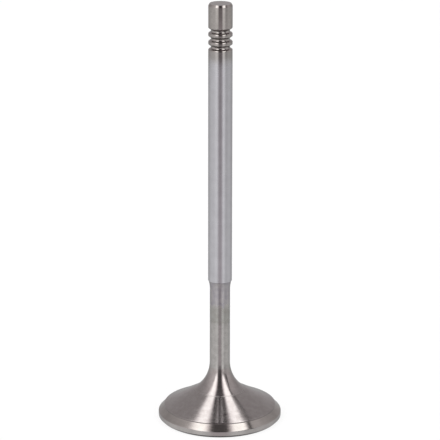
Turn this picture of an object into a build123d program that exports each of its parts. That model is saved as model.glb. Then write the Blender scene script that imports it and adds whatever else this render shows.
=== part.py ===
from build123d import *
from math import cos, radians, sin, sqrt, tan
import os

# Poppet valve of a passenger-car engine with four valves to a cylinder. Head, neck, stem and
# keeper grooves are turned and ground on one forged steel blank, so the valve is one solid.
# Millimetres, +Z up the stem, origin at the centre of the flat combustion face.

overall_length = 107.05  # combustion face to tip

# Head
head_diameter = 31.1
face_chamfer = 0.6  # breaks the edge between combustion face and margin
margin_height = 1.1  # cylindrical rim left below the seat
seat_angle = 45  # degrees up from the combustion face
seat_width = 2.0  # measured along the ground seat
seat_step = 0.28  # the unground back stands this much proud of the seat
shoulder_radius = 0.25  # rounds the back over that step
back_angle = 27.8  # mean slope of the back, from its shoulder in to the fillet
back_radius = 85  # the back is slightly hollow between those two edges

# Fillet and neck
fillet_radius = 9.0
fillet_edge_diameter = 12.5  # crease where the fillet cuts into the back
neck_undercut = 0.455  # depth of the neck's top below the stem's surface
neck_foot_gain = 0.03  # the neck's foot stands this much proud of its top
relief_radius = 8.0  # run-out from the neck up to the stem

# Stem
stem_diameter = 5.97
stem_start_height = 36.33  # the full diameter begins above this height
stem_edge_chamfer = 0.12
tip_chamfer_height = 0.48
tip_chamfer_angle = 30  # degrees from the stem's axis

# Keeper grooves
groove_count = 3
groove_pitch = 2.03
tip_to_first_groove = 6.59  # tip to the middle of the top groove
groove_depth = 0.65
groove_flank_angle = 30  # each flank, from the groove's middle plane
groove_root_radius = 0.44
groove_lip_radius = 0.24

head_radius = head_diameter / 2
stem_radius = stem_diameter / 2
neck_top_radius = stem_radius - neck_undercut
neck_foot_radius = neck_top_radius + neck_foot_gain


def circle_rise(radius, across):
    """Height from a circle's centre to the circle, at a distance across from the centre."""
    return sqrt(radius**2 - across**2)


# Points of the half section, (distance from the axis, height), from the head up to the stem
margin_top = (head_radius, face_chamfer + margin_height)
seat_top = (
    head_radius - seat_width * cos(radians(seat_angle)),
    margin_top[1] + seat_width * sin(radians(seat_angle)),
)
shoulder = (seat_top[0], seat_top[1] + seat_step)
fillet_edge_radius = fillet_edge_diameter / 2
fillet_edge = (
    fillet_edge_radius,
    shoulder[1] + (shoulder[0] - fillet_edge_radius) * tan(radians(back_angle)),
)
neck_foot = (
    neck_foot_radius,
    fillet_edge[1]
    + circle_rise(fillet_radius, neck_foot_radius + fillet_radius - fillet_edge_radius),
)
stem_start_radius = stem_radius - stem_edge_chamfer
stem_start = (stem_start_radius, stem_start_height)
neck_top = (
    neck_top_radius,
    stem_start_height
    - circle_rise(relief_radius, neck_top_radius + relief_radius - stem_start_radius),
)
tip_face_radius = stem_radius - tip_chamfer_height * tan(radians(tip_chamfer_angle))

# A groove starts as a notch with sharp root and lips, which the radii then round off
notch_depth = groove_depth + groove_root_radius * (1 / sin(radians(groove_flank_angle)) - 1)
notch_width = notch_depth + stem_radius  # reaches out past the stem's surface
notch_half_height = notch_width * tan(radians(groove_flank_angle))
notch_root = stem_radius - notch_depth
groove_middle_height = (
    overall_length - tip_to_first_groove - groove_pitch * (groove_count - 1) / 2
)
position_margin = 0.001  # picks out the corners at a given distance from the axis

with BuildPart() as valve:
    with BuildSketch(Plane.XZ) as section:
        with BuildLine():
            Polyline(
                (0, 0),
                (head_radius - face_chamfer, 0),
                (head_radius, face_chamfer),
                margin_top,
                seat_top,
                shoulder,
            )
            RadiusArc(shoulder, fillet_edge, back_radius)
            RadiusArc(fillet_edge, neck_foot, fillet_radius)
            Line(neck_foot, neck_top)
            RadiusArc(neck_top, stem_start, relief_radius)
            Polyline(
                stem_start,
                (stem_radius, stem_start_height + stem_edge_chamfer),
                (stem_radius, overall_length - tip_chamfer_height),
                (tip_face_radius, overall_length),
                (0, overall_length),
                (0, 0),
            )
        make_face()
        step_ends = section.vertices().filter_by_position(
            Axis.X, seat_top[0] - position_margin, seat_top[0] + position_margin
        )
        fillet(step_ends.sort_by(Axis.Y)[-1], shoulder_radius)

        with Locations((notch_root, groove_middle_height)):
            with GridLocations(0, groove_pitch, 1, groove_count):
                Polygon(
                    (0, 0),
                    (notch_width, -notch_half_height),
                    (notch_width, notch_half_height),
                    align=None,
                    mode=Mode.SUBTRACT,
                )
        roots = section.vertices().filter_by_position(
            Axis.X, notch_root - position_margin, notch_root + position_margin
        )
        fillet(roots, groove_root_radius)
        stem_corners = section.vertices().filter_by_position(
            Axis.X, stem_radius - position_margin, stem_radius + position_margin
        )
        lips = stem_corners.sort_by(Axis.Y)[1:-1]  # all but the stem's own two ends
        fillet(lips, groove_lip_radius)
    revolve(axis=Axis.Z)

valve.part.label = "valve"
os.makedirs("parts", exist_ok=True)
export_step(valve.part, "parts/valve.step")
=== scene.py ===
from math import atan2, cos, hypot, pi, radians, sin, sqrt, tan

import bpy
from mathutils import Matrix, Vector


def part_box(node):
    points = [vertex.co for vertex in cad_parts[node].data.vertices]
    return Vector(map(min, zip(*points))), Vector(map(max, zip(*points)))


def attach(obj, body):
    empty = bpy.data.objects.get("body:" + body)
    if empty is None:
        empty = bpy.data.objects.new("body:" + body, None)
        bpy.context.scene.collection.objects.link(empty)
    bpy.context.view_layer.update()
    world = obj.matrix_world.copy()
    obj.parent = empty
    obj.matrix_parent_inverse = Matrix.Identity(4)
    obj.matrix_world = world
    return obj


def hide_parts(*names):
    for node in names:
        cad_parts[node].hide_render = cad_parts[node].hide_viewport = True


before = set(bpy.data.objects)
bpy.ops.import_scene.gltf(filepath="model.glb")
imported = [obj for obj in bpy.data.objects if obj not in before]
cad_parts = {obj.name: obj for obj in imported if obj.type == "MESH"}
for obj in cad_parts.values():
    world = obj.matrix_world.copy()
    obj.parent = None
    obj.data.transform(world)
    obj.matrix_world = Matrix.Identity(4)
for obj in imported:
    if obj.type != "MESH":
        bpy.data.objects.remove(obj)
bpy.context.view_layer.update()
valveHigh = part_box("valve")[1]
print("frame loaded")

mm = 0.001
white = (1, 1, 1, 1)
lowest = -1.0  # a height below every piece


# small helpers

def linearColour(hexCode):
    channels = [int(hexCode[i:i + 2], 16) / 255 for i in (0, 2, 4)]
    return [c / 12.92 if c <= 0.04045 else ((c + 0.055) / 1.055) ** 2.4 for c in channels] + [1]


# adds one node to a tree; inputs are given by name or in order, each as a plain value, another
# node, whose first output is taken, or one of its outputs
def addNode(tree, kind, inputs=(), **settings):
    node = tree.nodes.new(kind)
    for name, value in settings.items():
        setattr(node, name, value)
    given = inputs.items() if isinstance(inputs, dict) else enumerate(inputs)
    for key, value in given:
        if isinstance(value, bpy.types.Node):
            value = value.outputs[0]
        if isinstance(value, bpy.types.NodeSocket):
            tree.links.new(value, node.inputs[key])
        else:
            node.inputs[key].default_value = value
    return node


# lathe
# sweeps a half section round the Z axis; the section is a curve lying in XY, where X is the
# distance from the axis less the path's radius, and Y is the height turned upside down

latheSizes = {
    "pathRadius": 10,  # any radius does, as the section is drawn that much further in
    "weldDistance": 0.001,  # closes the poles
}


def buildLatheTree():
    tree = bpy.data.node_groups.new("lathe", "GeometryNodeTree")
    face = tree.interface
    face.new_socket(name="Section", in_out="INPUT", socket_type="NodeSocketGeometry")
    face.new_socket(name="Sides", in_out="INPUT", socket_type="NodeSocketInt")
    face.new_socket(name="Path Radius", in_out="INPUT", socket_type="NodeSocketFloat")
    face.new_socket(name="Weld Distance", in_out="INPUT", socket_type="NodeSocketFloat")
    face.new_socket(name="Body", in_out="OUTPUT", socket_type="NodeSocketGeometry")
    return tree


# zones are (material, height above which it begins), from the bottom up
def fillLatheTree(tree, zones):
    given = addNode(tree, "NodeGroupInput")
    path = addNode(tree, "GeometryNodeCurvePrimitiveCircle", {
        "Resolution": given.outputs["Sides"], "Radius": given.outputs["Path Radius"]})
    swept = addNode(tree, "GeometryNodeCurveToMesh", {
        "Curve": path.outputs["Curve"], "Profile Curve": given.outputs["Section"]})
    welded = addNode(tree, "GeometryNodeMergeByDistance", {
        "Geometry": swept.outputs["Mesh"], "Distance": given.outputs["Weld Distance"]})
    whole = addNode(tree, "GeometryNodeRealizeInstances", {
        "Geometry": welded.outputs["Geometry"]})
    place = addNode(tree, "GeometryNodeInputPosition")
    height = addNode(tree, "ShaderNodeSeparateXYZ", [place])
    body = whole.outputs["Geometry"]
    for material, above in zones:
        chosen = addNode(tree, "FunctionNodeCompare", {0: height.outputs["Z"], 1: above},
                         data_type="FLOAT", operation="GREATER_THAN")
        dressed = addNode(tree, "GeometryNodeSetMaterial", {
            "Geometry": body, "Selection": chosen.outputs[0], "Material": material})
        body = dressed.outputs["Geometry"]
    addNode(tree, "NodeGroupOutput", {"Body": body})


def turnOnLathe(name, outline, zones, sides, sharpAngle):
    pathRadius = latheSizes["pathRadius"] * mm
    curve = bpy.data.curves.new(name + "Section", "CURVE")
    curve.dimensions = "3D"
    spline = curve.splines.new("POLY")
    spline.points.add(len(outline) - 1)
    for point, (across, height) in zip(spline.points, outline):
        point.co = (across * mm - pathRadius, -height * mm, 0, 1)
    section = bpy.data.objects.new(name + "Section", curve)
    bpy.context.scene.collection.objects.link(section)

    tree = buildLatheTree()
    fillLatheTree(tree, zones)
    lathe = section.modifiers.new("lathe", "NODES")
    lathe.node_group = tree
    sockets = {s.name: s.identifier for s in tree.interface.items_tree if s.in_out == "INPUT"}
    lathe[sockets["Sides"]] = sides
    lathe[sockets["Path Radius"]] = pathRadius
    lathe[sockets["Weld Distance"]] = latheSizes["weldDistance"] * mm

    # the result becomes a plain mesh, and the section goes, with its modifier
    depsgraph = bpy.context.evaluated_depsgraph_get()
    mesh = bpy.data.meshes.new_from_object(section.evaluated_get(depsgraph))
    mesh.name = name
    bpy.data.objects.remove(section)
    mesh.shade_smooth()
    mesh.set_sharp_from_angle(angle=radians(sharpAngle))
    turned = bpy.data.objects.new(name, mesh)
    bpy.context.scene.collection.objects.link(turned)
    return turned


# half section of the valve, in millimetres and degrees
# walked from the tip's centre down to the centre of the combustion face

valveSizes = {
    "overallLength": valveHigh.z / mm,
    "headRadius": min(valveHigh.x, valveHigh.y) / mm,
    "faceChamfer": 0.6,
    "marginHeight": 1.1,
    "seatAngle": 45,
    "seatWidth": 2.0,
    "seatStep": 0.28,  # the back stands this much proud of the seat
    "backAngle": 27.8,
    "backRadius": 85,
    "filletRadius": 9.0,
    "filletEdgeRadius": 6.25,
    "neckFootRadius": 2.56,
    "neckTopRadius": 2.53,
    "reliefRadius": 8.0,
    "stemRadius": 2.985,
    "stemStartHeight": 36.33,
    "stemEdgeChamfer": 0.12,
    "tipChamferHeight": 0.56,
    "tipChamferAngle": 26.5,
    "grooveCount": 3,
    "groovePitch": 2.03,
    "tipToFirstGroove": 6.66,
    "grooveDepth": 0.65,
    "grooveFlankAngle": 31,
    "grooveRootRadius": 0.44,
    "grooveUpperLipRadius": 0.28,
    "grooveLowerLipRadius": 0.36,
    # how far each edge is broken, along both of its sides
    "faceEdge": 0.05,
    "marginEdge": 0.12,
    "seatEdge": 0.03,
    "shoulderEdge": 0.16,
    "filletEdge": 0.06,
    "stemEdge": 0.02,
    "tipEdge": 0.04,
    # distances from the axis of the fine rings left by turning and grinding
    "backRings": [11.65, 12.4],
    "seatRings": [14.45, 14.97],
    "ringWidth": 0.22,
    "ringDepth": 0.008,
    # how many straight pieces each curve is drawn with
    "backSteps": 18,
    "filletSteps": 32,
    "reliefSteps": 8,
    "rootSteps": 16,
    "lipSteps": 8,
    "sides": 192,
    "sharpAngle": 35,
    # where one finish gives way to the next
    "neckZoneHeight": 13.5,
    "platingEnd": 0.9,  # below the middle of the last groove
}


# a circular arc between two points, without them; hollow bends into the metal
def arcPoints(start, end, radius, hollow, steps):
    middle = ((start[0] + end[0]) / 2, (start[1] + end[1]) / 2)
    chord = (end[0] - start[0], end[1] - start[1])
    length = hypot(*chord)
    rise = sqrt(radius ** 2 - length ** 2 / 4) * (1 if hollow else -1)
    centre = (middle[0] - chord[1] / length * rise, middle[1] + chord[0] / length * rise)
    first = atan2(start[1] - centre[1], start[0] - centre[0])
    last = atan2(end[1] - centre[1], end[0] - centre[0])
    turn = (last - first + pi) % (2 * pi) - pi
    angles = [first + turn * i / steps for i in range(1, steps)]
    return [(centre[0] + radius * cos(a), centre[1] + radius * sin(a)) for a in angles]


# a corner broken by a small curve of the given reach, with a support point beyond each end
def brokenCorner(before, corner, after, reach, steps=5, support=1.3, longestShare=0.45):
    def towards(other, distance):
        length = hypot(other[0] - corner[0], other[1] - corner[1])
        share = min(distance / length, longestShare)
        return (corner[0] + (other[0] - corner[0]) * share,
                corner[1] + (other[1] - corner[1]) * share)
    start, end = towards(before, reach), towards(after, reach)
    points = [towards(before, reach * support)]
    for i in range(steps + 1):
        t = i / steps
        points.append(tuple(
            (1 - t) ** 2 * start[k] + 2 * t * (1 - t) * corner[k] + t ** 2 * end[k]
            for k in (0, 1)))
    points.append(towards(after, reach * support))
    return points


# outline entries are (distance from axis, height, reach of the broken edge or 0)
def finishOutline(entries):
    points = []
    for i, (across, height, reach) in enumerate(entries):
        if reach:
            points += brokenCorner(entries[i - 1][:2], (across, height), entries[i + 1][:2], reach)
        else:
            points.append((across, height))
    return points


# points of a curve or a straight stretch, whose edges aren't broken
def smooth(points):
    return [(across, height, 0) for across, height in points]


# a fine ring's section: quarters of its width from its middle, and shares of its depth
ringShape = ((-2, 0.0), (-1, 0.7), (0, 1.0), (1, 0.7), (2, 0.0))


# cuts fine rings, at the given distances from the axis, into a stretch of outline
def cutRings(points, radii, size):
    cut = [points[0]]
    for first, second in zip(points, points[1:]):
        slope = (second[1] - first[1]) / (second[0] - first[0])
        for radius in radii:
            if first[0] < radius <= second[0]:
                for step, sink in ringShape:
                    across = radius + step * size["ringWidth"] / 4
                    height = first[1] + slope * (across - first[0])
                    cut.append((across, height - sink * size["ringDepth"]))
        cut.append(second)
    return cut


# heights of the grooves' middles, from the top down
def grooveMiddles(size):
    return [size["overallLength"] - size["tipToFirstGroove"] - i * size["groovePitch"]
            for i in range(size["grooveCount"])]


def grooveOutline(size, middle):
    flank = radians(size["grooveFlankAngle"])
    root = size["grooveRootRadius"]
    rootAcross = size["stemRadius"] - size["grooveDepth"] + root * (1 - sin(flank))
    rootRise = root * cos(flank)

    # from the stem in to the root, over a lip of the given radius
    def side(lip):
        lipAcross = size["stemRadius"] - lip * (1 - sin(flank))
        lipRise = rootRise + (lipAcross - rootAcross) * tan(flank)
        edge = (size["stemRadius"], lipRise + lip * cos(flank))
        return ([edge] + arcPoints(edge, (lipAcross, lipRise), lip, False, size["lipSteps"])
                + [(lipAcross, lipRise), (rootAcross, rootRise)])
    upper = [(across, middle + rise) for across, rise in side(size["grooveUpperLipRadius"])]
    lower = [(across, middle - rise) for across, rise in side(size["grooveLowerLipRadius"])]
    bottom = arcPoints(upper[-1], lower[-1], root, True, size["rootSteps"])
    return smooth(upper + bottom + lower[::-1])


def seatTopPoint(size):
    slope = radians(size["seatAngle"])
    marginTop = size["faceChamfer"] + size["marginHeight"]
    return (size["headRadius"] - size["seatWidth"] * cos(slope),
            marginTop + size["seatWidth"] * sin(slope))


def valveOutline(size):
    length, stem, head = size["overallLength"], size["stemRadius"], size["headRadius"]
    marginTop = (head, size["faceChamfer"] + size["marginHeight"])
    seatTop = seatTopPoint(size)
    shoulder = (seatTop[0], seatTop[1] + size["seatStep"])
    edge = size["filletEdgeRadius"]
    filletEdge = (edge, shoulder[1] + (shoulder[0] - edge) * tan(radians(size["backAngle"])))
    reach = size["neckFootRadius"] + size["filletRadius"] - edge
    neckFoot = (size["neckFootRadius"],
                filletEdge[1] + sqrt(size["filletRadius"] ** 2 - reach ** 2))
    stemStart = (stem - size["stemEdgeChamfer"], size["stemStartHeight"])
    reach = size["neckTopRadius"] + size["reliefRadius"] - stemStart[0]
    neckTop = (size["neckTopRadius"],
               stemStart[1] - sqrt(size["reliefRadius"] ** 2 - reach ** 2))
    tipRadius = stem - size["tipChamferHeight"] * tan(radians(size["tipChamferAngle"]))

    # tip, grooves and stem
    entries = [(0, length, 0), (tipRadius, length, size["tipEdge"]),
               (stem, length - size["tipChamferHeight"], size["tipEdge"])]
    for middle in grooveMiddles(size):
        entries += grooveOutline(size, middle)
    entries += [(stem, stemStart[1] + size["stemEdgeChamfer"], size["stemEdge"]),
                (*stemStart, size["stemEdge"])]

    # relief, neck and fillet
    relief = arcPoints(stemStart, neckTop, size["reliefRadius"], True, size["reliefSteps"])
    fillet = arcPoints(neckFoot, filletEdge, size["filletRadius"], True, size["filletSteps"])
    entries += smooth(relief + [neckTop, neckFoot] + fillet)

    # back, seat, margin and face
    hollow = arcPoints(filletEdge, shoulder, size["backRadius"], True, size["backSteps"])
    back = cutRings([filletEdge] + hollow + [shoulder], size["backRings"], size)
    seat = cutRings([seatTop, marginTop], size["seatRings"], size)
    entries += [(*filletEdge, size["filletEdge"])] + smooth(back[1:-1])
    entries += [(*shoulder, size["shoulderEdge"]), (*seatTop, size["seatEdge"])]
    entries += smooth(seat[1:-1]) + [(*marginTop, size["marginEdge"])]
    entries += [(head, size["faceChamfer"], size["faceEdge"]),
                (head - size["faceChamfer"], 0, size["faceEdge"]), (0, 0, 0)]
    return finishOutline(entries)


# metals

# metal worked on a lathe or a round grinder: the marks run round the axis, so what it mirrors
# is drawn out along the valve and stays narrow across it. Lengths are in millimetres. Real
# marks are 0.1 mm apart or less and wouldn't show, so they are as coarse as they need to be.
# A band is a stretch of height where another colour and roughness take over, with soft edges
# that are uneven where it is ragged. Noise keeps near the middle of its range, so the part that
# it fills is taken as the whole
def turnedMetal(name, finish):
    material = bpy.data.materials.new(name)
    material.use_nodes = True
    tree = material.node_tree
    shader = tree.nodes["Principled BSDF"]
    place = addNode(tree, "ShaderNodeTexCoord").outputs["Object"]
    inMillimetres = addNode(tree, "ShaderNodeVectorMath", {0: place, "Scale": 1 / mm},
                            operation="SCALE")
    parts = addNode(tree, "ShaderNodeSeparateXYZ", [inMillimetres])
    height = parts.outputs["Z"]
    level = addNode(tree, "ShaderNodeCombineXYZ", {
        "X": parts.outputs["X"], "Y": parts.outputs["Y"]})
    across = addNode(tree, "ShaderNodeVectorMath", [level], operation="LENGTH").outputs["Value"]

    # tool or grit marks, the same all the way round
    section = addNode(tree, "ShaderNodeCombineXYZ", {"X": across, "Y": height})
    marks = addNode(tree, "ShaderNodeTexNoise", {
        "Vector": section, "Scale": 1 / finish["markPitch"], "Detail": 3.0, "Roughness": 0.6})
    roughness = addNode(tree, "ShaderNodeMapRange", {
        "Value": marks, "From Min": 0.3, "From Max": 0.7,
        "To Min": finish["roughness"] * (1 - finish["markSpread"]),
        "To Max": finish["roughness"] * (1 + finish["markSpread"])})

    # blotches between colour and tint
    blotches = addNode(tree, "ShaderNodeTexNoise", {
        "Vector": inMillimetres, "Scale": 1 / finish["blotchSize"], "Detail": 3.0})
    spread = addNode(tree, "ShaderNodeMapRange", {
        "Value": blotches, "From Min": 0.35, "From Max": 0.65})
    colour = addNode(tree, "ShaderNodeMix", {
        "Factor": spread, "A": linearColour(finish["colour"]), "B": linearColour(finish["tint"])},
        data_type="RGBA")

    uneven = addNode(tree, "ShaderNodeMath", [blotches, 0.5], operation="SUBTRACT")
    for band in finish.get("bands", []):
        ragged = addNode(tree, "ShaderNodeMath", [uneven, band["ragged"] * 4, height],
                         operation="MULTIPLY_ADD")
        entering = addNode(tree, "ShaderNodeMapRange", {
            "Value": ragged, "From Min": band["from"] - band["soft"],
            "From Max": band["from"] + band["soft"]}, interpolation_type="SMOOTHSTEP")
        leaving = addNode(tree, "ShaderNodeMapRange", {
            "Value": ragged, "From Min": band["to"] - band["soft"],
            "From Max": band["to"] + band["soft"], "To Min": 1.0, "To Max": 0.0},
            interpolation_type="SMOOTHSTEP")
        inside = addNode(tree, "ShaderNodeMath", [entering, leaving], operation="MULTIPLY")
        bandColour = addNode(tree, "ShaderNodeMix", {
            "Factor": spread, "A": linearColour(band["colour"]), "B": linearColour(band["tint"])},
            data_type="RGBA")
        colour = addNode(tree, "ShaderNodeMix", {
            "Factor": inside, "A": colour.outputs["Result"], "B": bandColour.outputs["Result"]},
            data_type="RGBA")
        roughness = addNode(tree, "ShaderNodeMix", {
            "Factor": inside, "A": roughness, "B": band["roughness"]})

    bump = addNode(tree, "ShaderNodeBump", {
        "Height": marks, "Distance": finish["markDepth"] * mm, "Strength": 1.0})
    tangent = addNode(tree, "ShaderNodeTangent", direction_type="RADIAL", axis="Z")
    tree.links.new(colour.outputs["Result"], shader.inputs["Base Color"])
    tree.links.new(roughness.outputs[0], shader.inputs["Roughness"])
    tree.links.new(bump.outputs["Normal"], shader.inputs["Normal"])
    tree.links.new(tangent.outputs["Tangent"], shader.inputs["Tangent"])
    shader.inputs["Metallic"].default_value = 1.0
    shader.inputs["Anisotropic"].default_value = finish["anisotropy"]
    shader.inputs["Anisotropic Rotation"].default_value = 0.25
    return material


# valve steel, faced on a lathe: an even, warm grey disc with rings of tool marks
faceFinish = {
    "colour": "A19D9B", "tint": "999594", "roughness": 0.20, "anisotropy": 0.7,
    "markPitch": 0.30, "markDepth": 0.004, "markSpread": 0.2, "blotchSize": 3.0,
}
# valve steel, ground to the seat's angle: smoother than the back, with crisp bright light
seatFinish = {
    "colour": "A19C98", "tint": "999490", "roughness": 0.16, "anisotropy": 0.8,
    "markPitch": 0.25, "markDepth": 0.002, "markSpread": 0.2, "blotchSize": 2.0,
}
# valve steel, finely turned: lights are drawn out into fans that run up the slope
backFinish = {
    "colour": "A09B99", "tint": "989290", "roughness": 0.18, "anisotropy": 0.8,
    "markPitch": 0.35, "markDepth": 0.002, "markSpread": 0.2, "blotchSize": 1.2,
    "bands": [
        # painted shade on the wall of the step over the seat: a darker colour there, which is also
        # rougher
        {"from": 3.05, "to": 3.36, "soft": 0.03, "ragged": 0.0,
         "colour": "7E7876", "tint": "767170", "roughness": 0.25},
        # the crease under the fillet, which is duller, and a shade lighter in colour: a painted
        # highlight along the crease
        {"from": 7.45, "to": 7.65, "soft": 0.07, "ragged": 0.02,
         "colour": "A39E9C", "tint": "9C9694", "roughness": 0.32},
    ],
}
# valve steel, turned and not ground: softer lights, darker in the middle and dull at the top
neckFinish = {
    "colour": "A3A09E", "tint": "9A9795", "roughness": 0.23, "anisotropy": 0.75,
    "markPitch": 0.35, "markDepth": 0.0012, "markSpread": 0.2, "blotchSize": 1.2,
    "bands": [
        {"from": 25.6, "to": 29.7, "soft": 1.1, "ragged": 0.5,
         "colour": "9A9996", "tint": "908E8A", "roughness": 0.28},
        {"from": 30.3, "to": 60.0, "soft": 0.5, "ragged": 0.8,
         "colour": "A7A4A5", "tint": "98959A", "roughness": 0.42},
    ],
}
# hard chrome plate, ground: paler and bluer than the steel, with a wide satin sheen
chromeFinish = {
    "colour": "B1B0B4", "tint": "ABAAAE", "roughness": 0.29, "anisotropy": 0.4,
    "markPitch": 0.40, "markDepth": 0.0003, "markSpread": 0.06, "blotchSize": 2.0,
    "bands": [
        # it thins out to bare steel below the grooves
        {"from": 92.9, "to": 200.0, "soft": 1.7, "ragged": 0.4,
         "colour": "9B9795", "tint": "94908E", "roughness": 0.16},
    ],
}
# valve steel, ground and left bare: warm grey, with narrow bright lights. Its grey is a little
# darker than the other steels, painted shade for the dimmer light the tip mirrors
tipFinish = {
    "colour": "9A9592", "tint": "938E8B", "roughness": 0.13, "anisotropy": 0.7,
    "markPitch": 0.30, "markDepth": 0.001, "markSpread": 0.2, "blotchSize": 0.8,
    # painted shade in the upper corner of each groove, where its own walls shade it
    "bands": [
        {"from": middle + 0.22, "to": middle + 0.72, "soft": 0.12, "ragged": 0.5,
         "colour": "7C7774", "tint": "5C5856", "roughness": 0.20}
        for middle in grooveMiddles(valveSizes)],
}


# the finishes, each with the height above which it begins
def valveZones(size):
    seatBottom = size["faceChamfer"] + size["marginHeight"]
    platingTop = grooveMiddles(size)[-1] - size["platingEnd"]
    return [
        (turnedMetal("turnedFaceSteel", faceFinish), lowest),
        (turnedMetal("groundSeatSteel", seatFinish), seatBottom * mm),
        (turnedMetal("turnedBackSteel", backFinish), seatTopPoint(size)[1] * mm),
        (turnedMetal("turnedNeckSteel", neckFinish), size["neckZoneHeight"] * mm),
        (turnedMetal("hardChromePlate", chromeFinish), size["stemStartHeight"] * mm),
        (turnedMetal("groundTipSteel", tipFinish), platingTop * mm),
    ]


metals = valveZones(valveSizes)
print("metals made")
valve = turnOnLathe("engineValve", valveOutline(valveSizes), metals, valveSizes["sides"],
                    valveSizes["sharpAngle"])
print("valve turned:", len(valve.data.polygons), "faces")

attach(valve, "root")
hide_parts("valve")


# studio floor, which sweeps up into the backdrop

studio = {
    "floorRadius": 2000,
    "wallRadius": 3600,
    "wallHeight": 1400,
    "sweepSteps": 24,
    "sides": 96,
    "sharpAngle": 60,
    "floorColour": "FBFBFB",
    "floorRoughness": 0.9,
    "floorGlow": 0.87,  # share of plain white in the paper as seen; the rest keeps the shadow
}


def studioOutline(room):
    corner = (room["floorRadius"], 0)
    top = (room["wallRadius"], room["wallHeight"])
    steps = room["sweepSteps"]
    sweep = [(corner[0] + (top[0] - corner[0]) * sin(i / steps * pi / 2),
              top[1] * (1 - cos(i / steps * pi / 2))) for i in range(1, steps + 1)]
    return [(0, 0), corner] + sweep


# uncoated studio paper: matte and a hair off white, with no gloss of its own
def studioPaper(room):
    paper = bpy.data.materials.new("matteStudioPaper")
    paper.use_nodes = True
    tree = paper.node_tree
    shader = tree.nodes["Principled BSDF"]
    shader.inputs["Base Color"].default_value = linearColour(room["floorColour"])
    shader.inputs["Roughness"].default_value = room["floorRoughness"]
    shader.inputs["Specular IOR Level"].default_value = 0.0
    rays = addNode(tree, "ShaderNodeLightPath")
    seen = addNode(tree, "ShaderNodeMath", [
        addNode(tree, "ShaderNodeMath", [
            rays.outputs["Is Camera Ray"], rays.outputs["Is Glossy Ray"]], operation="ADD"),
        rays.outputs["Is Transmission Ray"]], operation="ADD", use_clamp=True)
    share = addNode(tree, "ShaderNodeMath", [seen, room["floorGlow"]], operation="MULTIPLY")
    glow = addNode(tree, "ShaderNodeEmission", {"Color": white, "Strength": 1.0})
    lifted = addNode(tree, "ShaderNodeMixShader", [share, shader, glow])
    # from below the paper is clear, so that the valve's face can be looked at
    clear = addNode(tree, "ShaderNodeBsdfTransparent")
    oneSided = addNode(tree, "ShaderNodeMixShader", [
        addNode(tree, "ShaderNodeNewGeometry").outputs["Backfacing"], lifted, clear])
    tree.links.new(oneSided.outputs["Shader"], tree.nodes["Material Output"].inputs["Surface"])
    return paper


floor = turnOnLathe("studioSweep", studioOutline(studio), [(studioPaper(studio), lowest)],
                    studio["sides"], studio["sharpAngle"])
floor.visible_glossy = False
print("floor laid")


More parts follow.
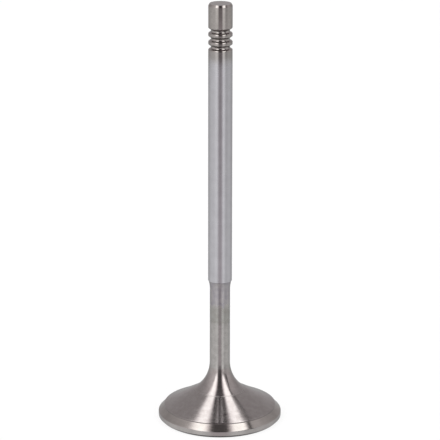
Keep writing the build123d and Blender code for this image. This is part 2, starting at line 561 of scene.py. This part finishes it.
# light by direction: two soft boxes overhead with a gap between them, the room round them, and
# a table below. Above the horizon, lengths are on a level plane one unit over the valve: side
# is the distance left or right of the camera's line, and front the distance towards the
# camera. Turns are in degrees from the camera's side, to the right, and negative to the left.
# Up is the sine of the angle above the horizon. Stops are (place, level)
lightSizes = {
    "leastUp": 0.02,  # keeps the plane's lengths finite near the horizon
    "horizon": (-0.08, 0.06),  # between these ups the table gives way to the room
    "seam": 0.01,  # half the width over which left turns to right

    "boxLevel": 2.9,
    "boxRise": (0.12, 0.4),  # a box is this much brighter, this far out from its inner edge
    # edges are the side at front 0, and its gain with front
    "nearInner": (0.207, 0.210),
    "farInner": (0.165, 0.304),
    "innerSoft": (0.05, 0.20),
    "innerSoftLimits": (0.04, 0.3),
    "leftOuter": (0.570, 0.598),
    "rightOuter": (0.552, 0.598),
    "outerSoft": (0.22, 0.075),  # left box, right box
    "outerCorner": (-0.34, -0.28, 0.25),  # behind these fronts they are only this share as soft
    "frontFade": (1.6, 5.2),
    "rearFade": (-0.90, -0.60),
    # the gap's level, by front
    "gapStops": [
        (-0.5, 0.06), (-0.12, 0.07), (0.08, 0.19), (0.25, 0.18), (0.45, 0.13), (1.0, 0.14)],

    # the right box's black rim: its side, as a share of rimReach, by front
    "rimStops": [
        (-0.6, 0.075), (-0.46, 0.108), (-0.42, 0.124), (-0.06, 0.155), (0.09, 0.184),
        (0.21, 0.216), (0.43, 0.31), (0.8, 0.47), (1.7, 0.83), (2.1, 1.0)],
    "rimReach": 4.0,
    "rimWidth": (0.02, 0.10),  # half of it, and its gain with the side squared
    "rimSoft": (0.6, 1.4),  # the shares of that half width between which it ends
    "rimLevel": 0.15,

    # the room and the table, by turn
    "roomStops": [
        (-180, 0.57), (-128, 0.57), (-110, 0.68), (-90, 0.93), (-65, 1.15), (-35, 1.15),
        (0, 0.80), (35, 1.05), (55, 0.95), (75, 0.85), (98, 0.88), (115, 0.70), (132, 0.57),
        (180, 0.57)],
    "tableStops": [
        (-180, 0.50), (-140, 0.60), (-112, 0.83), (-90, 0.96), (-62, 1.04), (-50, 1.2),
        (-38, 1.48), (-28, 1.4), (-20, 1.1), (0, 1.0), (20, 1.15), (29, 1.55), (36, 1.4),
        (47, 0.98), (59, 0.62), (70, 0.70), (84, 0.85), (110, 0.78), (137, 0.60), (180, 0.50)],
    # nearer the valve's foot the table is more even; it changes over between these ups
    "nearTableStops": [
        (-180, 0.50), (-137, 0.66), (-112, 0.97), (-90, 1.08), (-58, 1.06), (-40, 1.14),
        (-28, 1.12), (0, 1.0), (26, 1.12), (38, 1.18), (58, 0.97), (90, 0.99), (112, 0.90),
        (137, 0.62), (180, 0.50)],
    "nearTable": (-0.31, -0.225),
    "underside": (-0.97, -0.60, 0.35),  # straight below it is darker, in the valve's shade

    # a lamp stand's foot on the right of the table, by turn and by up
    "footTurn": (44, 50, 56, 63),
    "footUp": (-0.31, -0.20),
    "footLevel": 0.62,

    # straight ahead the table is dark, by up
    "frontStops": [
        (-0.37, 1.0), (-0.33, 0.90), (-0.29, 0.64), (-0.255, 0.44), (-0.225, 0.26),
        (-0.20, 0.20), (-0.17, 0.30), (-0.08, 0.40), (0.0, 0.26), (0.10, 0.14)],
    "frontTurn": (12, 24),

    "middleColour": "FFF6FA",  # the gap and the dark front are a little warm
    "roomColour": "FFFAFC",  # and so is the room round the boxes, but less
}


# a level that follows a few stops along a measure
def levelAlong(tree, measure, stops):
    low, high = stops[0][0], stops[-1][0]
    share = addNode(tree, "ShaderNodeMapRange", [measure, low, high])
    levels = addNode(tree, "ShaderNodeValToRGB", [share])
    elements = levels.color_ramp.elements
    while len(elements) < len(stops):
        elements.new(1.0)
    for element, (place, level) in zip(elements, stops):
        element.position = (place - low) / (high - low)
        element.color = (level, level, level, 1)
    return levels.outputs["Color"]


# the measures by which the light below is laid out
def directionMeasures(tree, light):
    direction = addNode(tree, "ShaderNodeTexCoord").outputs["Generated"]
    signedSide, rear, up = addNode(tree, "ShaderNodeSeparateXYZ", [direction]).outputs
    front = addNode(tree, "ShaderNodeMath", [rear, -1.0], operation="MULTIPLY")
    side = addNode(tree, "ShaderNodeMath", [signedSide], operation="ABSOLUTE")
    safeUp = addNode(tree, "ShaderNodeMath", [up, light["leastUp"]], operation="MAXIMUM")
    bearing = addNode(tree, "ShaderNodeMath", [signedSide, front], operation="ARCTAN2")
    return {
        "up": up,
        "turn": addNode(tree, "ShaderNodeMath", [bearing, 180 / pi], operation="MULTIPLY"),
        "onRight": addNode(tree, "ShaderNodeMapRange", [signedSide, -light["seam"], light["seam"]]),
        "side": addNode(tree, "ShaderNodeMath", [side, safeUp], operation="DIVIDE"),
        "signedSide": addNode(tree, "ShaderNodeMath", [signedSide, safeUp], operation="DIVIDE"),
        "front": addNode(tree, "ShaderNodeMath", [front, safeUp], operation="DIVIDE"),
    }


# the shares of box and of gap in a direction, and the box's level there
def boxesAndGap(tree, light, way):
    nearInner, farInner, innerWidth, leftOuter, rightOuter = [
        addNode(tree, "ShaderNodeMath", [way["front"], light[edge][1], light[edge][0]],
                operation="MULTIPLY_ADD")
        for edge in ("nearInner", "farInner", "innerSoft", "leftOuter", "rightOuter")]
    inner = addNode(tree, "ShaderNodeMath", [nearInner, farInner], operation="MAXIMUM")
    beyondInner = addNode(tree, "ShaderNodeMath", [way["side"], inner], operation="SUBTRACT")
    innerSoft = addNode(tree, "ShaderNodeClamp", [innerWidth, *light["innerSoftLimits"]])
    innerShare = addNode(tree, "ShaderNodeMath", [beyondInner, innerSoft], operation="DIVIDE")
    pastGap = addNode(tree, "ShaderNodeMapRange", [innerShare, -1.0, 1.0],
                      interpolation_type="SMOOTHSTEP")

    outer = addNode(tree, "ShaderNodeMix", {
        "Factor": way["onRight"], "A": leftOuter, "B": rightOuter})
    beforeOuter = addNode(tree, "ShaderNodeMath", [outer, way["side"]], operation="SUBTRACT")
    outerWidth = addNode(tree, "ShaderNodeMapRange", [
        way["onRight"], 0.0, 1.0, *light["outerSoft"]])
    cornerStart, cornerEnd, sharp = light["outerCorner"]
    sharpness = addNode(tree, "ShaderNodeMapRange", [
        way["front"], cornerStart, cornerEnd, sharp, 1.0])
    outerSoft = addNode(tree, "ShaderNodeMath", [outerWidth, sharpness], operation="MULTIPLY")
    outerShare = addNode(tree, "ShaderNodeMath", [beforeOuter, outerSoft], operation="DIVIDE")
    insideOuter = addNode(tree, "ShaderNodeMapRange", [outerShare, -1.0, 1.0],
                          interpolation_type="SMOOTHSTEP")

    frontEnd = addNode(tree, "ShaderNodeMapRange", [
        way["front"], *light["frontFade"], 1.0, 0.0], interpolation_type="SMOOTHSTEP")
    rearEnd = addNode(tree, "ShaderNodeMapRange", [way["front"], *light["rearFade"]],
                      interpolation_type="SMOOTHSTEP")
    across = addNode(tree, "ShaderNodeMath", [pastGap, insideOuter], operation="MULTIPLY")
    along = addNode(tree, "ShaderNodeMath", [frontEnd, rearEnd], operation="MULTIPLY")
    box = addNode(tree, "ShaderNodeMath", [across, along], operation="MULTIPLY")
    overGap = addNode(tree, "ShaderNodeMath", [1.0, pastGap], operation="SUBTRACT")
    gap = addNode(tree, "ShaderNodeMath", [overGap, rearEnd], operation="MULTIPLY")
    rise, riseReach = light["boxRise"]
    boxLevel = addNode(tree, "ShaderNodeMapRange", [
        beyondInner, 0.0, riseReach, light["boxLevel"], light["boxLevel"] * (1 + rise)])
    return box, gap, boxLevel


# the share of the right box's rim in a direction
def rightRim(tree, light, way):
    share = levelAlong(tree, way["front"], light["rimStops"])
    rimSide = addNode(tree, "ShaderNodeMath", [share, light["rimReach"]], operation="MULTIPLY")
    beyondRim = addNode(tree, "ShaderNodeMath", [way["signedSide"], rimSide],
                        operation="SUBTRACT")
    offRim = addNode(tree, "ShaderNodeMath", [beyondRim], operation="ABSOLUTE")
    squared = addNode(tree, "ShaderNodeMath", [rimSide, rimSide], operation="MULTIPLY")
    start, gain = light["rimWidth"]
    halfWidth = addNode(tree, "ShaderNodeMath", [squared, gain, start],
                        operation="MULTIPLY_ADD")
    offShare = addNode(tree, "ShaderNodeMath", [offRim, halfWidth], operation="DIVIDE")
    return addNode(tree, "ShaderNodeMapRange", [offShare, *light["rimSoft"], 1.0, 0.0])


# the table's level, and the share of its dark front in a direction
def tableBelow(tree, light, way):
    nearness = addNode(tree, "ShaderNodeMapRange", [way["up"], *light["nearTable"], 1.0, 0.0])
    table = addNode(tree, "ShaderNodeMix", {
        "Factor": nearness, "A": levelAlong(tree, way["turn"], light["tableStops"]),
        "B": levelAlong(tree, way["turn"], light["nearTableStops"])})

    footStart, footLeft, footRight, footEnd = light["footTurn"]
    reachingFoot = addNode(tree, "ShaderNodeMapRange", [way["turn"], footStart, footLeft],
                           interpolation_type="SMOOTHSTEP")
    leavingFoot = addNode(tree, "ShaderNodeMapRange", [
        way["turn"], footRight, footEnd, 1.0, 0.0], interpolation_type="SMOOTHSTEP")
    onFoot = addNode(tree, "ShaderNodeMath", [reachingFoot, leavingFoot],
                     operation="MULTIPLY")
    footRise = addNode(tree, "ShaderNodeMapRange", [way["up"], *light["footUp"], 0.0, 1.0])
    footShare = addNode(tree, "ShaderNodeMath", [onFoot, footRise], operation="MULTIPLY")
    table = addNode(tree, "ShaderNodeMix", {
        "Factor": footShare, "A": table, "B": light["footLevel"]})

    unsignedTurn = addNode(tree, "ShaderNodeMath", [way["turn"]], operation="ABSOLUTE")
    ahead = addNode(tree, "ShaderNodeMapRange", [
        unsignedTurn, *light["frontTurn"], 1.0, 0.0], interpolation_type="SMOOTHSTEP")
    table = addNode(tree, "ShaderNodeMix", {
        "Factor": ahead, "A": table, "B": levelAlong(tree, way["up"], light["frontStops"])})
    underEnd, underStart, underLevel = light["underside"]
    shaded = addNode(tree, "ShaderNodeMapRange", [
        way["up"], underEnd, underStart, underLevel, 1.0])
    table = addNode(tree, "ShaderNodeMath", [table, shaded], operation="MULTIPLY")
    return table, ahead


def buildStudioLight(light):
    world = bpy.data.worlds.new("studioLight")
    bpy.context.scene.world = world
    world.use_nodes = True
    tree = world.node_tree
    tree.nodes.clear()
    way = directionMeasures(tree, light)
    box, gap, boxLevel = boxesAndGap(tree, light, way)
    table, ahead = tableBelow(tree, light, way)

    # level
    sky = addNode(tree, "ShaderNodeMix", {
        "Factor": gap, "A": levelAlong(tree, way["turn"], light["roomStops"]),
        "B": levelAlong(tree, way["front"], light["gapStops"])})
    sky = addNode(tree, "ShaderNodeMix", {"Factor": box, "A": sky, "B": boxLevel})
    sky = addNode(tree, "ShaderNodeMix", {
        "Factor": rightRim(tree, light, way), "A": sky, "B": light["rimLevel"]})
    above = addNode(tree, "ShaderNodeMapRange", [way["up"], *light["horizon"]],
                    interpolation_type="SMOOTHSTEP")
    level = addNode(tree, "ShaderNodeMix", {"Factor": above, "A": table, "B": sky})

    # colour
    room = addNode(tree, "ShaderNodeMix", {
        "Factor": box, "A": linearColour(light["roomColour"]), "B": white}, data_type="RGBA")
    colour = addNode(tree, "ShaderNodeMix", {
        "Factor": above, "A": white, "B": room.outputs["Result"]}, data_type="RGBA")
    inMiddle = addNode(tree, "ShaderNodeMix", {"Factor": above, "A": ahead, "B": gap})
    colour = addNode(tree, "ShaderNodeMix", {
        "Factor": inMiddle, "A": colour.outputs["Result"],
        "B": linearColour(light["middleColour"])}, data_type="RGBA")
    background = addNode(tree, "ShaderNodeBackground", {
        "Color": colour.outputs["Result"], "Strength": level})
    addNode(tree, "ShaderNodeOutputWorld", {"Surface": background})


buildStudioLight(lightSizes)
print("studio lit")


# camera

cameraSizes = {
    "lens": 203.694,
    "sensorWidth": 36,
    "distance": 618.70,
    "elevation": 17.0917,
    "dropPixels": 5.49,  # the camera looks this far below the valve's middle
    "sidePixels": 0.1,
    "leanDegrees": 0.11,
    "imagePixels": 440,
    "nearest": 50,
    "furthest": 20000,
}


def buildCamera(setup, target):
    camera = bpy.data.cameras.new("camera")
    camera.lens = setup["lens"]
    camera.sensor_width = setup["sensorWidth"]
    camera.clip_start = setup["nearest"] * mm
    camera.clip_end = setup["furthest"] * mm
    holder = bpy.data.objects.new("camera", camera)
    bpy.context.scene.collection.objects.link(holder)
    tilt = radians(setup["elevation"])
    pixelsPerRadian = setup["lens"] / setup["sensorWidth"] * setup["imagePixels"]
    drop = setup["dropPixels"] / pixelsPerRadian
    swing = setup["sidePixels"] / pixelsPerRadian
    place = target + Vector((0, -cos(tilt), sin(tilt))) * setup["distance"] * mm
    aim = (Matrix.Rotation(swing, 4, "Z") @ Matrix.Rotation(pi / 2 - tilt - drop, 4, "X")
           @ Matrix.Rotation(radians(setup["leanDegrees"]), 4, "Z"))
    holder.matrix_world = Matrix.Translation(place) @ aim
    bpy.context.scene.camera = holder


buildCamera(cameraSizes, Vector((0, 0, valveHigh.z / 2)))
bpy.context.scene.view_settings.view_transform = "Standard"
print("camera set")
